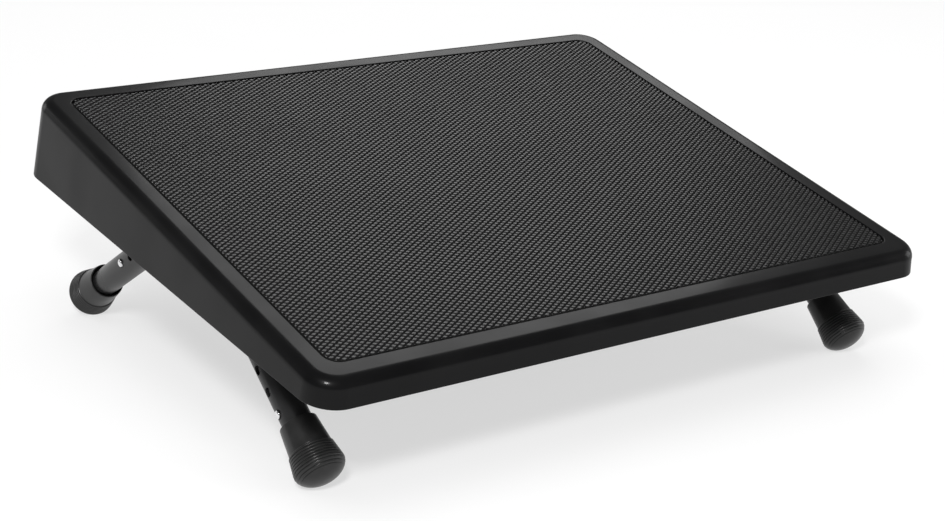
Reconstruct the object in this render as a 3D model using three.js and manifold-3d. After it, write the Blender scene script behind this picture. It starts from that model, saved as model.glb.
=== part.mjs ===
import * as THREE from "three";
import { mergeVertices } from "three/addons/utils/BufferGeometryUtils.js";
import Module from "manifold-3d";

const wasm = await Module();
wasm.setup();

// A tilting footrest: a wedge-shaped moulded platform with a rubber tread mat turns on a cross tube.
// The cross tube joins two side tubes, each bent into an inverted V, and on each of their four ends
// slides a leg sleeve with a rubber foot, held by a sprung button in one of a row of holes.
// Millimetres, +X to the user's right, +Y away from the user, +Z up, floor at zero.

const radians = THREE.MathUtils.degToRad;

// Platform, measured square to its top face
const platformWidth = 448;
const platformDepth = 355;
const sideRimWidth = 16;
const frontRimWidth = 17.4;
const backRimWidth = 15.5;
const cornerRadius = 18;
const edgeRadius = 7.5;
const wallThickness = 3;
const topPlateThickness = 2.5;
const frontSkirtDepth = 15.9;
const backSkirtDepth = 54.3;
const sideDraft = radians(3);
const frontLean = radians(16.2);
const backLean = radians(3);
const restTilt = radians(10);

// Tread mat in its recess
const matThickness = 2;
const matEdgeGap = 0.7;
const recessCornerRadius = 9;

// Ribs under the top plate
const ribThickness = 2;
const ribDepth = 9.5;
const longRibSpacing = 86;
const longRibsEachSide = 2;
const crossRibOffset = 46;
const crossRibSpacing = 50;
const crossRibsEachWay = 3;
const ribToTubeGap = 1.5;

// Stop pads that meet the side tubes when the platform lies flat
const stopReach = 40;
const stopPadWidth = 12;
const stopPadThickness = 5;
const stopGap = 0.5;

// Tube frame: its side tubes stand in from the platform's sides and run on past the mouths of the feet
const frameTubeDiameter = 14.3;
const frameTubeWall = 1.2;
const sideTubeInset = 24.15;
const bendRadius = 80;
const legAngle = radians(35);
const frameTubePastMouth = 8.5;
const pivotBelowTop = 16.8;
const pivotAheadOfMiddle = 0.4;

// Pivot bearings, each inboard of its side tube
const bearingInset = 59.85;
const bearingWidth = 24;
const bushWall = 2;
const bushFlangeHeight = 2;
const bushFlangeThickness = 1.5;
const saddleLength = 46;
const capBodyLength = 25;
const capDepth = 12.5;
const capEarThickness = 4;
const capScrewSpacing = 35;

// Bearing cap screws
const screwDiameter = 4;
const screwLength = 13;
const screwHeadDiameter = 8;
const screwHeadHeight = 2.4;
const screwRecessDiameter = 3.4;
const screwRecessDepth = 1.3;

// Leg sleeves and their row of holes
const legReach = 143.5;
const sleeveDiameter = 17.5;
const sleeveWall = 1.3;
const sleeveEndMargin = 6;
const holeDiameter = 5.6;
const holePitch = 14.4;
const holeCount = 3;
const frontButtonAboveFoot = 8;
const rearButtonAboveFoot = 45.8;

// Snap buttons and their leaf springs
const buttonDiameter = 4.8;
const buttonProud = 1.4;
const buttonDomeHeight = 0.7;
const buttonTailDiameter = 2;
const buttonTailLength = 1.4;
const springWidth = 6;
const springThickness = 0.8;
const springSpread = 9.6;
const springFlat = 4;
const springEnd = 5;
const springReach = 26;
const springBendRadius = 1.3;
const springHoleDiameter = 2.6;

// Rubber feet and the washers inside them
const footLength = 36.8;
const footMouthDiameter = 21.8;
const footShoulderDiameter = 25;
const footFirstRibDiameter = 26.2;
const footWidestDiameter = 29.8;
const footMouthRounding = 0.5;
const footSmoothLength = 17;
const footRibbedLength = 10.5;
const footRibCount = 6;
const footRibGroove = 0.7;
const footCounterboreDiameter = 20;
const footCounterboreDepth = 4;
const footSocketDepth = 26;
const footContactFlat = 0.5;
const washerThickness = 1.2;

// Gap between seated pieces, and the overrun of cutting shapes past what they cut
const seatGap = 0.3;
const overrun = 5;

// Faceting
const roundSides = 16;
const smallSides = 12;
const cornerSteps = 5;
const edgeSteps = 4;
const pathSteps = 18;
const domeSteps = 6;

// Places that follow from the sizes above
const sideTubeSpacing = platformWidth - 2 * sideTubeInset;
const bearingSpacing = sideTubeSpacing - 2 * bearingInset;
const frameTubeReach = legReach + frameTubePastMouth;
const frameTubeRadius = frameTubeDiameter / 2;
const sleeveRadius = sleeveDiameter / 2;
const quarterTurn = Math.PI / 2;
const recessDepth = matThickness + seatGap;
const plateUnderside = pivotBelowTop - recessDepth - topPlateThickness;
const plateMiddle = plateUnderside + topPlateThickness / 2;
const frontEdge = pivotAheadOfMiddle - platformDepth / 2;
const baseSlope = (backSkirtDepth - frontSkirtDepth) / platformDepth;
const crossingAbovePivot = bendRadius / Math.cos(legAngle) - bendRadius;
const straightStart = bendRadius * Math.tan(legAngle);
const sleeveTop = legReach - rearButtonAboveFoot - (holeCount - 1) * holePitch - sleeveEndMargin;
const sleeveBottom = legReach + footSocketDepth;
const washerRadius = sleeveRadius;
const bushBore = frameTubeRadius + seatGap;
const bushRadius = bushBore + bushWall;
const seatRadius = bushRadius + seatGap;

const finishes = {
  shell: { color: 0x1d1d1e, roughness: 0.42, metalness: 0 },
  mat: { color: 0x242425, roughness: 0.6, metalness: 0 },
  coatedSteel: { color: 0x1b1b1c, roughness: 0.4, metalness: 0.3 },
  rubber: { color: 0x1a1a1a, roughness: 0.6, metalness: 0 },
  bareSteel: { color: 0xb9bbbd, roughness: 0.3, metalness: 1 },
  springSteel: { color: 0x6f7174, roughness: 0.35, metalness: 1 },
  nylon: { color: 0xd8d6cf, roughness: 0.5, metalness: 0 },
};

// Booleans between closed three.js geometries

function solidOf(geometry) {
  const bare = geometry.clone();
  bare.deleteAttribute("normal");
  bare.deleteAttribute("uv");
  const merged = mergeVertices(bare);
  return new wasm.Manifold(
    new wasm.Mesh({
      numProp: 3,
      vertProperties: new Float32Array(merged.attributes.position.array),
      triVerts: new Uint32Array(merged.index.array),
    }),
  );
}

function geometryOf(solid) {
  const mesh = solid.getMesh();
  const geometry = new THREE.BufferGeometry();
  geometry.setAttribute("position", new THREE.BufferAttribute(mesh.vertProperties, 3));
  geometry.setIndex(new THREE.BufferAttribute(mesh.triVerts, 1));
  geometry.computeVertexNormals();
  return geometry;
}

function joined(solids) {
  return solids.reduce((whole, next) => whole.add(next));
}

function cutFrom(solid, tools) {
  return tools.reduce((rest, tool) => rest.subtract(tool), solid);
}

function piece(name, solid, finish) {
  const mesh = new THREE.Mesh(geometryOf(solid), new THREE.MeshStandardMaterial(finish));
  mesh.name = name;
  return mesh;
}

// Basic closed shapes

// A block between two corners
function block(low, high) {
  const size = new THREE.Vector3().subVectors(high, low);
  const geometry = new THREE.BoxGeometry(size.x, size.y, size.z);
  geometry.translate((low.x + high.x) / 2, (low.y + high.y) / 2, (low.z + high.z) / 2);
  return solidOf(geometry);
}

// An upright round bar between two heights
function uprightBar(radius, bottom, top, sides = roundSides) {
  const geometry = new THREE.CylinderGeometry(radius, radius, top - bottom, sides);
  geometry.rotateX(quarterTurn);
  geometry.translate(0, 0, (top + bottom) / 2);
  return solidOf(geometry);
}

// A round bar along X between two places, at a height
function sidewaysBar(radius, from, to, height = 0, sides = roundSides) {
  const geometry = new THREE.CylinderGeometry(radius, radius, to - from, sides);
  geometry.rotateZ(quarterTurn);
  geometry.translate((from + to) / 2, 0, height);
  return solidOf(geometry);
}

// A solid turned about Z, from profile points of radius and height that run from low to high outside
function turned(profile, sides = roundSides) {
  const geometry = new THREE.LatheGeometry(profile, sides);
  geometry.rotateX(quarterTurn);
  return geometry;
}

function point(radius, height) {
  return new THREE.Vector2(radius, height);
}

function at(x, y, z) {
  return new THREE.Vector3(x, y, z);
}

// A closed solid through outlines with equal counts of points, from the lowest up, anticlockwise from above
function lofted(outlines) {
  const count = outlines[0].length;
  const positions = outlines.flat().flatMap((p) => [p.x, p.y, p.z]);
  const triangles = [];
  for (let level = 0; level + 1 < outlines.length; level++) {
    for (let i = 0; i < count; i++) {
      const next = (i + 1) % count;
      const a = level * count + i;
      const b = level * count + next;
      triangles.push(a, b, b + count, a, b + count, a + count);
    }
  }
  const top = (outlines.length - 1) * count;
  for (let i = 1; i + 1 < count; i++) {
    triangles.push(0, i + 1, i);
    triangles.push(top, top + i, top + i + 1);
  }
  const geometry = new THREE.BufferGeometry();
  geometry.setAttribute("position", new THREE.Float32BufferAttribute(positions, 3));
  geometry.setIndex(triangles);
  return solidOf(geometry);
}

// A flat slab that fills the recess between two heights, but for a gap at its edge
function recessSlab(edgeGap, bottom, top) {
  const radius = recessCornerRadius - edgeGap;
  const x = platformWidth / 2 - sideRimWidth - recessCornerRadius;
  const y = (platformDepth - frontRimWidth - backRimWidth) / 2 - recessCornerRadius;
  const outline = new THREE.Shape();
  outline.absarc(x, y, radius, 0, quarterTurn);
  outline.absarc(-x, y, radius, quarterTurn, 2 * quarterTurn);
  outline.absarc(-x, -y, radius, 2 * quarterTurn, 3 * quarterTurn);
  outline.absarc(x, -y, radius, 3 * quarterTurn, 4 * quarterTurn);
  const slab = new THREE.ExtrudeGeometry(outline, {
    depth: top - bottom,
    bevelEnabled: false,
    curveSegments: cornerSteps,
  });
  slab.translate(0, pivotAheadOfMiddle + (frontRimWidth - backRimWidth) / 2, bottom);
  return solidOf(slab);
}

// Platform shell, in a frame whose origin is the pivot and whose Z is square to the top face

// The wall's outline at the depth that depthAt gives, drawn in by an inset.
// Below the rounded top edge the walls lean outwards.
function wallOutline(inset, depthAt) {
  const points = [];
  const corners = [
    [1, 1],
    [-1, 1],
    [-1, -1],
    [1, -1],
  ];
  corners.forEach(([toSide, toBack], corner) => {
    for (let step = 0; step <= cornerSteps; step++) {
      const turn = (corner + step / cornerSteps) * quarterTurn;
      const outX = Math.cos(turn);
      const outY = Math.sin(turn);
      const x = toSide * (platformWidth / 2 - cornerRadius) + outX * cornerRadius;
      const y = pivotAheadOfMiddle + toBack * (platformDepth / 2 - cornerRadius) + outY * cornerRadius;
      const below = Math.max(depthAt(y) - edgeRadius, 0);
      const lean = toBack > 0 ? backLean : frontLean;
      const placedX = x + outX * (Math.tan(sideDraft) * below - inset);
      const placedY = y + outY * (Math.tan(lean) * below - inset);
      points.push(at(placedX, placedY, pivotBelowTop - depthAt(placedY)));
    }
  });
  return points;
}

function skirtDepthAt(y) {
  return frontSkirtDepth + baseSlope * (y - frontEdge);
}

function outerBody() {
  const outlines = [wallOutline(0, skirtDepthAt)];
  for (let step = 0; step <= edgeSteps; step++) {
    const angle = (step / edgeSteps) * quarterTurn;
    const inset = edgeRadius * (1 - Math.cos(angle));
    const depth = edgeRadius * (1 - Math.sin(angle));
    outlines.push(wallOutline(inset, () => depth));
  }
  return lofted(outlines);
}

// The middle of the walls and the top plate, in which ribs, pads and saddles end
function wallMiddle() {
  return lofted([
    wallOutline(wallThickness / 2, (y) => skirtDepthAt(y) + overrun),
    wallOutline(wallThickness / 2, () => edgeRadius),
    wallOutline(wallThickness / 2, () => pivotBelowTop - plateMiddle),
  ]);
}

function hollow() {
  return lofted([
    wallOutline(wallThickness, (y) => skirtDepthAt(y) + overrun),
    wallOutline(wallThickness, () => edgeRadius),
    wallOutline(wallThickness, () => pivotBelowTop - plateUnderside),
  ]);
}

function recess() {
  return recessSlab(0, pivotBelowTop - recessDepth, pivotBelowTop + overrun);
}

// Ribs run front to back and from side to side; near the side tubes only the outer cross ribs go on to the wall
function ribs() {
  const ribBottom = plateUnderside - ribDepth;
  const halfRib = ribThickness / 2;
  const gridHalfWidth = longRibSpacing * longRibsEachSide + halfRib;
  const wallHalfWidth = platformWidth / 2;
  const solids = [];
  for (let i = -longRibsEachSide; i <= longRibsEachSide; i++) {
    const x = i * longRibSpacing;
    const half = platformDepth / 2;
    solids.push(
      block(
        at(x - halfRib, pivotAheadOfMiddle - half, ribBottom),
        at(x + halfRib, pivotAheadOfMiddle + half, plateMiddle),
      ),
    );
  }
  for (let i = 0; i < crossRibsEachWay; i++) {
    for (const way of [-1, 1]) {
      const y = way * (crossRibOffset + i * crossRibSpacing);
      const reach = i === 0 ? gridHalfWidth : wallHalfWidth;
      solids.push(
        block(
          at(-reach, y - halfRib, ribBottom),
          at(reach, y + halfRib, plateMiddle),
        ),
      );
    }
  }
  const notch = frameTubeRadius + ribToTubeGap;
  const tubeSlot = block(
    at(-platformWidth / 2, -notch, ribBottom - overrun),
    at(platformWidth / 2, notch, plateUnderside),
  );
  return joined(solids).subtract(tubeSlot);
}

// The side tubes' crown meets these pads when the platform lies flat
function stopPads() {
  const outer = bendRadius + frameTubeRadius;
  const padBack = stopReach + stopPadThickness / 2;
  const padFront = stopReach - stopPadThickness / 2;
  const padBottom = Math.sqrt(outer * outer - padFront * padFront) - bendRadius + stopGap;
  return [-1, 1].map((side) => {
    const x = (side * sideTubeSpacing) / 2;
    return block(
      at(x - stopPadWidth / 2, padFront, padBottom),
      at(x + stopPadWidth / 2, padBack, plateMiddle),
    );
  });
}

function saddle(x) {
  const body = block(
    at(x - bearingWidth / 2, -saddleLength / 2, 0),
    at(x + bearingWidth / 2, saddleLength / 2, plateMiddle),
  );
  const seat = sidewaysBar(seatRadius, x - bearingWidth, x + bearingWidth);
  const screwHoles = [-1, 1].map((way) =>
    uprightBar(screwDiameter / 2 + seatGap, -overrun, screwHoleTop(), smallSides).translate([
      x,
      (way * capScrewSpacing) / 2,
      0,
    ]),
  );
  return cutFrom(body, [seat, ...screwHoles]);
}

function screwHoleTop() {
  return screwTop() + seatGap;
}

function screwTop() {
  return screwSeat() + screwLength;
}

// The face of the cap's ears that the screw heads press on, below the pivot
function screwSeat() {
  return -seatGap - capEarThickness;
}

function platformShell() {
  const outer = outerBody();
  const walls = cutFrom(outer, [recess(), hollow()]);
  const inside = ribs().intersect(wallMiddle());
  const saddles = [-1, 1].map((side) => saddle((side * bearingSpacing) / 2));
  return joined([walls, inside, ...stopPads(), ...saddles]);
}

function treadMat() {
  return recessSlab(matEdgeGap, pivotBelowTop - matThickness, pivotBelowTop);
}

// Bearings: a flanged bush on the cross tube, and a cap screwed on from below

function bush(x) {
  const half = bearingWidth / 2 + seatGap;
  const flange = bushRadius + bushFlangeHeight;
  const end = half + bushFlangeThickness;
  const ring = turned([
    point(bushBore, -end),
    point(flange, -end),
    point(flange, -half),
    point(bushRadius, -half),
    point(bushRadius, half),
    point(flange, half),
    point(flange, end),
    point(bushBore, end),
    point(bushBore, -end),
  ]);
  ring.rotateY(quarterTurn);
  ring.translate(x, 0, 0);
  return solidOf(ring);
}

function bearingCap(x) {
  const body = block(
    at(x - bearingWidth / 2, -capBodyLength / 2, -capDepth),
    at(x + bearingWidth / 2, capBodyLength / 2, -seatGap),
  );
  const ears = block(
    at(x - bearingWidth / 2, -saddleLength / 2, screwSeat()),
    at(x + bearingWidth / 2, saddleLength / 2, -seatGap),
  );
  const seat = sidewaysBar(seatRadius, x - bearingWidth, x + bearingWidth);
  const screwHoles = [-1, 1].map((way) =>
    uprightBar(screwDiameter / 2 + seatGap, -capDepth, overrun, smallSides).translate([
      x,
      (way * capScrewSpacing) / 2,
      0,
    ]),
  );
  return cutFrom(body.add(ears), [seat, ...screwHoles]);
}

// A pan-head screw that points up, with its head under the cap's ear
function capScrew(x, y) {
  const shank = screwDiameter / 2;
  const head = screwHeadDiameter / 2;
  const underHead = screwSeat() - seatGap;
  const bottom = underHead - screwHeadHeight;
  const crown = screwHeadHeight / 2;
  const socket = screwRecessDiameter / 2;
  const screw = turned(
    [
      point(0, bottom + screwRecessDepth),
      point(socket, bottom + screwRecessDepth),
      point(socket, bottom),
      point(head - crown, bottom),
      point(head, bottom + crown),
      point(head, underHead),
      point(shank, underHead),
      point(shank, screwTop() - shank),
      point(0, screwTop()),
    ],
    smallSides,
  );
  screw.translate(x, y, 0);
  return solidOf(screw);
}

// Tube frame, in a frame whose origin is the middle of the cross tube

// The centre line of a side tube: a round crown through the pivot, and a straight leg each way
class SideTubePath extends THREE.Curve {
  constructor(reach) {
    super();
    this.crown = bendRadius * legAngle;
    this.half = this.crown + reach - straightStart;
  }

  getPoint(share, target = new THREE.Vector3()) {
    const along = (2 * share - 1) * this.half;
    const way = Math.sign(along);
    const onCrown = Math.min(Math.abs(along), this.crown);
    const turn = onCrown / bendRadius;
    const past = Math.abs(along) - onCrown;
    const y = bendRadius * Math.sin(turn) + past * Math.cos(legAngle);
    const z = bendRadius * (Math.cos(turn) - 1) - past * Math.sin(legAngle);
    return target.set(0, way * y, z);
  }
}

function rodAlongSideTube(radius, reach) {
  const section = new THREE.Shape();
  section.absarc(0, 0, radius, 0, 4 * quarterTurn);
  const rod = new THREE.ExtrudeGeometry(section, {
    steps: pathSteps,
    extrudePath: new SideTubePath(reach),
    curveSegments: roundSides / 2,
    bevelEnabled: false,
  });
  return solidOf(rod);
}

function sideTube(side) {
  const holes = [
    [-1, frontButtonAboveFoot],
    [1, rearButtonAboveFoot],
  ].map(([way, aboveFoot]) => {
    const along = legReach - aboveFoot;
    const y = way * along * Math.cos(legAngle);
    const z = crossingAbovePivot - along * Math.sin(legAngle);
    return outboardHole(side, holeDiameter / 2, 0).translate([0, y, z]);
  });
  const tube = rodAlongSideTube(frameTubeRadius, frameTubeReach);
  const bore = rodAlongSideTube(frameTubeRadius - frameTubeWall, frameTubeReach + overrun);
  return cutFrom(tube, [bore, ...holes]);
}

// A cutting bar that points outboard from a tube's centre line
function outboardHole(side, radius, height) {
  const far = sleeveDiameter;
  return sidewaysBar(radius, side < 0 ? -far : 0, side < 0 ? 0 : far, height, smallSides);
}

function crossTube() {
  const half = sideTubeSpacing / 2 - frameTubeRadius / 2;
  const tube = sidewaysBar(frameTubeRadius, -half, half);
  const bore = sidewaysBar(frameTubeRadius - frameTubeWall, -half - overrun, half + overrun);
  const copes = [-1, 1].map((side) =>
    rodAlongSideTube(frameTubeRadius + seatGap, frameTubeReach).translate([
      (side * sideTubeSpacing) / 2,
      0,
      0,
    ]),
  );
  return cutFrom(tube, [bore, ...copes]);
}

// Legs, in a frame whose origin is where the two leg lines cross, with the foot straight down Z

function legSleeve(side, buttonAboveFoot) {
  const tube = uprightBar(sleeveRadius, -sleeveBottom, -sleeveTop);
  const bore = uprightBar(sleeveRadius - sleeveWall, -sleeveBottom - overrun, -sleeveTop + overrun);
  const holes = [];
  for (let i = 0; i < holeCount; i++) {
    const height = buttonAboveFoot + i * holePitch - legReach;
    holes.push(outboardHole(side, holeDiameter / 2, height));
  }
  return cutFrom(tube, [bore, ...holes]);
}

// Radius of the foot against the distance from its mouth
function footProfile() {
  const mouth = footMouthDiameter / 2;
  const firstRib = footFirstRibDiameter / 2;
  const widest = footWidestDiameter / 2;
  const ribPitch = footRibbedLength / footRibCount;
  const ribbedEnd = footSmoothLength + footRibbedLength;
  const points = [
    point(footCounterboreDiameter / 2, 0),
    point(mouth - footMouthRounding, 0),
    point(mouth, footMouthRounding),
    point(footShoulderDiameter / 2, footSmoothLength),
  ];
  for (let i = 0; i < footRibCount; i++) {
    const start = footSmoothLength + i * ribPitch;
    const share = (i + 1) / footRibCount;
    const crest = firstRib + (widest - firstRib) * share;
    points.push(point(crest, start + ribPitch / 4));
    points.push(point(crest, start + (3 * ribPitch) / 4));
    points.push(point(crest - footRibGroove, start + ribPitch));
  }
  const domeHeight = footLength - ribbedEnd;
  for (let step = 0; step <= domeSteps; step++) {
    const turn = (step / domeSteps) * quarterTurn;
    const along = ribbedEnd + ribPitch / 4 + (domeHeight - ribPitch / 4) * Math.sin(turn);
    points.push(point(step === domeSteps ? 0 : widest * Math.cos(turn), along));
  }
  return points;
}

// The height of the leg lines' crossing that sets the feet on the floor, each with a small worn flat
function crossingHeight() {
  const drops = footProfile().map(
    (p) => (legReach + p.y) * Math.sin(legAngle) + p.x * Math.cos(legAngle),
  );
  return Math.max(...drops) - footContactFlat;
}

function foot(legFrame) {
  const outside = footProfile().map((p) => point(p.x, -legReach - p.y));
  const socket = sleeveRadius + seatGap;
  const floor = -sleeveBottom - 2 * seatGap - washerThickness;
  const inside = [
    point(0, floor),
    point(socket, floor),
    point(socket, -legReach - footCounterboreDepth),
    point(footCounterboreDiameter / 2, -legReach),
  ];
  const body = solidOf(turned([...outside.reverse(), ...inside.reverse().slice(1)]));
  const span = platformWidth;
  const ground = new THREE.BoxGeometry(span, span, span);
  ground.translate(0, 0, -span / 2);
  ground.applyMatrix4(legFrame.clone().invert());
  return body.subtract(solidOf(ground));
}

function footWasher() {
  const top = -sleeveBottom - seatGap;
  return uprightBar(washerRadius, top - washerThickness, top, smallSides);
}

// The button stands through the frame tube's hole and the sleeve's, and its tail through the leaf spring
function snapButton(side, buttonAboveFoot) {
  const base = springSpread / 2 + seatGap;
  const tip = sleeveRadius + buttonProud;
  const radius = buttonDiameter / 2;
  const button = turned(
    [
      point(0, base - buttonTailLength),
      point(buttonTailDiameter / 2, base - buttonTailLength),
      point(buttonTailDiameter / 2, base),
      point(radius, base),
      point(radius, tip - buttonDomeHeight),
      point(radius * Math.cos(quarterTurn / 2), tip - buttonDomeHeight * (1 - Math.sin(quarterTurn / 2))),
      point(0, tip),
    ],
    smallSides,
  );
  button.rotateY(side * quarterTurn);
  button.translate(0, 0, buttonAboveFoot - legReach);
  return solidOf(button);
}

// A strip folded into a V, with its ends at the button and its fold further up the tube
function leafSpring(side, buttonAboveFoot) {
  const outer = springSpread / 2;
  const inner = outer - springThickness;
  const foldOuter = springBendRadius;
  const foldInner = springBendRadius - springThickness;
  const foldStart = springReach - springBendRadius;
  const outline = new THREE.Shape();
  outline.moveTo(-outer, -springEnd);
  outline.lineTo(-inner, -springEnd);
  outline.lineTo(-inner, springFlat);
  outline.lineTo(-foldInner, foldStart);
  outline.absarc(0, foldStart, foldInner, 2 * quarterTurn, 0, true);
  outline.lineTo(inner, springFlat);
  outline.lineTo(inner, -springEnd);
  outline.lineTo(outer, -springEnd);
  outline.lineTo(outer, springFlat);
  outline.lineTo(foldOuter, foldStart);
  outline.absarc(0, foldStart, foldOuter, 0, 2 * quarterTurn, false);
  outline.lineTo(-outer, springFlat);
  const strip = new THREE.ExtrudeGeometry(outline, {
    depth: springWidth,
    bevelEnabled: false,
    curveSegments: cornerSteps,
  });
  strip.translate(0, 0, -springWidth / 2);
  strip.rotateX(quarterTurn);
  const tailHole = outboardHole(side, springHoleDiameter / 2, 0);
  return solidOf(strip).subtract(tailHole).translate([0, 0, buttonAboveFoot - legReach]);
}

function legParts(sideName, endName) {
  const side = sideName === "left" ? -1 : 1;
  const end = endName === "front" ? -1 : 1;
  const aboveFoot = endName === "front" ? frontButtonAboveFoot : rearButtonAboveFoot;
  const leg = new THREE.Group();
  leg.position.set((side * sideTubeSpacing) / 2, 0, crossingHeight());
  leg.rotation.x = end * (quarterTurn - legAngle);
  leg.updateMatrixWorld(true);
  const prefix = `${endName}_${sideName}`;
  leg.add(
    piece(`${prefix}_leg_sleeve`, legSleeve(side, aboveFoot), finishes.coatedSteel),
    piece(`${prefix}_rubber_foot`, foot(leg.matrixWorld), finishes.rubber),
    piece(`${prefix}_foot_washer`, footWasher(), finishes.springSteel),
    piece(`${prefix}_snap_button`, snapButton(side, aboveFoot), finishes.bareSteel),
    piece(`${prefix}_leaf_spring`, leafSpring(side, aboveFoot), finishes.springSteel),
  );
  return leg;
}

function tubeFrame() {
  const frame = new THREE.Group();
  frame.position.z = crossingHeight() - crossingAbovePivot;
  for (const [sideName, side] of [
    ["left", -1],
    ["right", 1],
  ]) {
    const tube = piece(`${sideName}_side_tube`, sideTube(side), finishes.coatedSteel);
    tube.position.x = (side * sideTubeSpacing) / 2;
    frame.add(tube);
  }
  frame.add(piece("pivot_cross_tube", crossTube(), finishes.coatedSteel));
  return frame;
}

function platform() {
  const group = new THREE.Group();
  group.position.z = crossingHeight() - crossingAbovePivot;
  group.rotation.x = restTilt;
  group.add(
    piece("platform_shell", platformShell(), finishes.shell),
    piece("tread_mat", treadMat(), finishes.mat),
  );
  for (const [sideName, side] of [
    ["left", -1],
    ["right", 1],
  ]) {
    const x = (side * bearingSpacing) / 2;
    group.add(
      piece(`${sideName}_pivot_bush`, bush(x), finishes.nylon),
      piece(`${sideName}_bearing_cap`, bearingCap(x), finishes.shell),
    );
    for (const [endName, way] of [
      ["front", -1],
      ["rear", 1],
    ]) {
      const screw = capScrew(x, (way * capScrewSpacing) / 2);
      group.add(piece(`${sideName}_cap_screw_${endName}`, screw, finishes.bareSteel));
    }
  }
  return group;
}

// The origin is on the floor under the middle of the whole footrest
const footrest = new THREE.Group();
footrest.add(tubeFrame(), platform());
for (const endName of ["front", "rear"]) {
  for (const sideName of ["left", "right"]) {
    footrest.add(legParts(sideName, endName));
  }
}
footrest.updateMatrixWorld(true);
const extent = new THREE.Box3().setFromObject(footrest, true);
footrest.position.y = -(extent.min.y + extent.max.y) / 2;

const part = new THREE.Group();
part.add(footrest);

export default part;
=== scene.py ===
"""The looks of a tilting under-desk footrest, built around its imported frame.

Lengths are metres. The platform's pieces are modelled level, with the pivot at the origin, and are
then turned to the tilt that they have at rest. A leg's pieces are modelled upright below the point
where its leg line meets the other one of its side, and are then leant to its side tube.
"""

import logging
import math
from contextlib import contextmanager
from dataclasses import dataclass
from enum import Enum
from typing import Any, Callable, Iterator, Sequence

import bmesh
import bpy
from mathutils import Euler, Matrix, Vector


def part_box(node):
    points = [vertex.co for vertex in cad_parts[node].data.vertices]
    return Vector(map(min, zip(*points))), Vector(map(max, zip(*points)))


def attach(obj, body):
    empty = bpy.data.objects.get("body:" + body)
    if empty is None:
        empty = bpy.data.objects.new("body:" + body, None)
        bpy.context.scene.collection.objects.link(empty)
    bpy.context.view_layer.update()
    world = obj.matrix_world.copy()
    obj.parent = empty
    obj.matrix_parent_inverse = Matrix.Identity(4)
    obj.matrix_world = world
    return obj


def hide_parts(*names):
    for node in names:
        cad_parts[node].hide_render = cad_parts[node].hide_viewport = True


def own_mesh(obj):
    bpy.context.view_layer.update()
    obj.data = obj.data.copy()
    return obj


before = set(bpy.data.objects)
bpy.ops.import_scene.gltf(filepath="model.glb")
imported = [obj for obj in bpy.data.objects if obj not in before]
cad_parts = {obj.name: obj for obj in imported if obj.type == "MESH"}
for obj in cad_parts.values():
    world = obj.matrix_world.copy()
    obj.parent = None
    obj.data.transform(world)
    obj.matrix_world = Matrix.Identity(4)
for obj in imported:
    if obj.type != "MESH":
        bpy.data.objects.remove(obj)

LOG = logging.getLogger("footrest")
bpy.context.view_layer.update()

MM = 0.001
QUARTER_TURN = math.pi / 2
CORNERS = ((1, 1), (-1, 1), (-1, -1), (1, -1))

# Two places this near count as one.
TOUCH = 0.005 * MM
# The least that a level face's normal points along Z.
LEVEL = 0.999
# How far the middle of a small rounding stands in from its sides, as a share of its radius.
EASE = 0.3

CROSS_TUBE_LOW, CROSS_TUBE_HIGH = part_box("pivot_cross_tube")
PIVOT = (CROSS_TUBE_LOW + CROSS_TUBE_HIGH) / 2
REST_TILT = math.radians(10)
AT_PIVOT = Matrix.Translation(PIVOT)
# Where the platform's pieces go.
AT_REST = AT_PIVOT @ Matrix.Rotation(REST_TILT, 4, "X")
LEG_ANGLE = math.radians(35)
BEND_RADIUS = 80 * MM
CROSSING_ABOVE_PIVOT = BEND_RADIUS / math.cos(LEG_ANGLE) - BEND_RADIUS
SIDE_TUBE_X = 199.85 * MM
BEARING_X = 140 * MM
LEG_REACH = 143.5 * MM
SEAT_GAP = 0.3 * MM
HOLE_RADIUS = 2.8 * MM
DRILL_LENGTH = 20 * MM
DRILL_SIDES = 28

Piece = bpy.types.Object
Profile = Sequence[tuple[float, float]]
Test = Callable[[Any], bool]


class Way(Enum):
    """One of two ways along an axis."""

    @property
    def word(self) -> str:
        """The way's name in the names of pieces."""
        return self.name.lower()


class Side(Way):
    """The left or right side of the footrest, as its user sees it."""

    LEFT = -1
    RIGHT = 1


class End(Way):
    """The end towards the user, or the one away from them."""

    FRONT = -1
    REAR = 1


class Kind(Enum):
    """What is picked on an opened piece."""

    VERT = "verts"
    EDGE = "edges"
    FACE = "faces"


# Modelling tools


def let_go() -> None:
    """Leaves no object selected."""
    bpy.ops.object.select_all(action="DESELECT")


def hold(*pieces: Piece) -> None:
    """Selects these objects alone, the first of them active.

    Args:
        pieces: The objects.
    """
    let_go()
    for piece in pieces:
        piece.select_set(True)
    bpy.context.view_layer.objects.active = pieces[0]


@contextmanager
def opened(piece: Piece) -> Iterator[None]:
    """Opens a piece for editing, and closes it again.

    Args:
        piece: The piece.
    """
    hold(piece)
    bpy.ops.object.mode_set(mode="EDIT")
    yield
    bpy.ops.object.mode_set(mode="OBJECT")
    let_go()


def pick(piece: Piece, kind: Kind, accepts: Test) -> None:
    """Selects part of an opened piece.

    Args:
        piece: The opened piece.
        kind: Whether vertices, edges or faces are picked.
        accepts: Says of each of them whether it is picked.
    """
    bpy.ops.mesh.select_mode(type=kind.name)
    bpy.ops.mesh.select_all(action="DESELECT")
    mesh = bmesh.from_edit_mesh(piece.data)
    mesh.verts.index_update()
    for item in getattr(mesh, kind.value):
        if accepts(item):
            item.select_set(True)
    mesh.select_flush_mode()
    bmesh.update_edit_mesh(piece.data, loop_triangles=False, destructive=False)


def pick_all() -> None:
    """Selects all of the opened piece."""
    bpy.ops.mesh.select_all(action="SELECT")


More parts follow.
